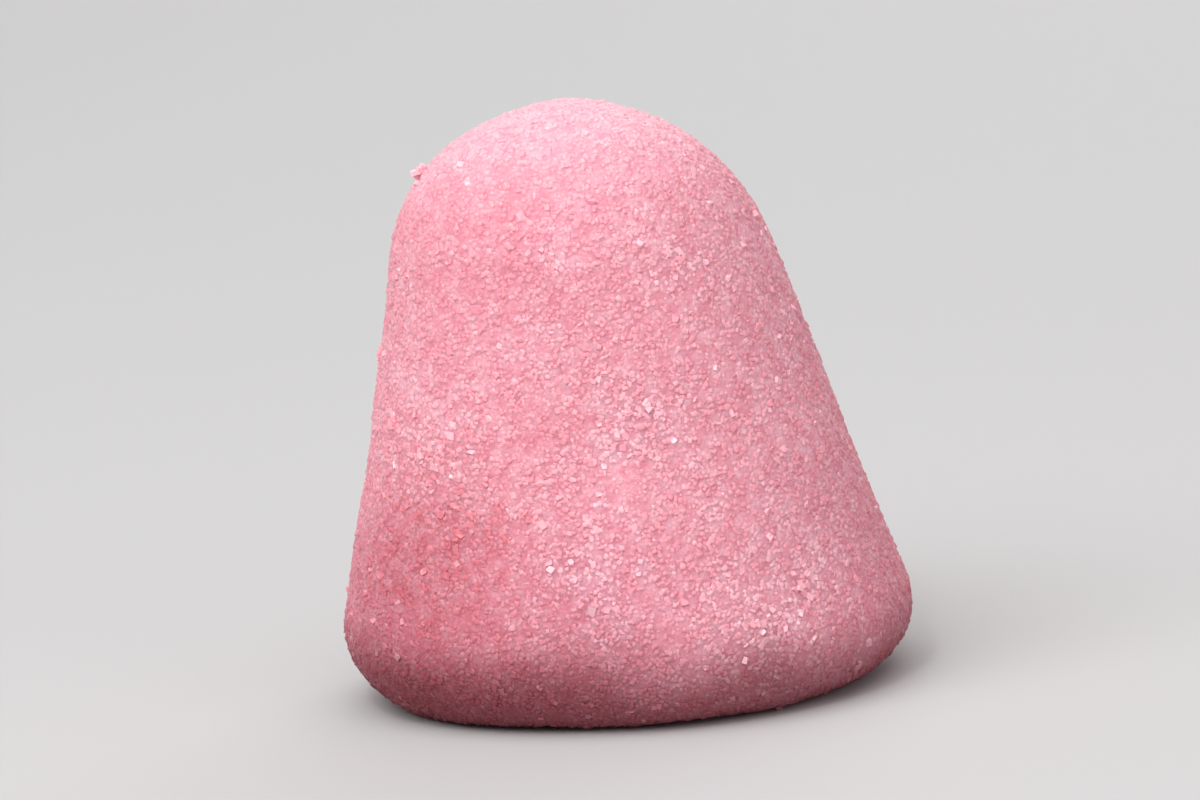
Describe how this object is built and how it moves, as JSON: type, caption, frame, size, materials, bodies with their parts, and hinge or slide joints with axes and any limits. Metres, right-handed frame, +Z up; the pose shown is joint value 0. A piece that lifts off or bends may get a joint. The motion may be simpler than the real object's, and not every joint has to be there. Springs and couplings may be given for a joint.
{
  "type": "marshmallow",
  "caption": "Pink sugar-coated foam sweet shaped as a rounded cone with a domed tip, a soft rim and a flat base to stand on.",
  "frame": {"origin": "centre of the flat base", "axes": "+Z up from the base towards the tip, -Y towards the side shown in the picture, +X to that viewer's right"},
  "size_m": [0.033, 0.0306, 0.0339],
  "materials": {
    "sugared_marshmallow": "matt pink foam under a coat of fine sugar crystals"
  },
  "bodies": {
    "root": {"marshmallow": "sugared_marshmallow"}
  },
  "joints": []
}
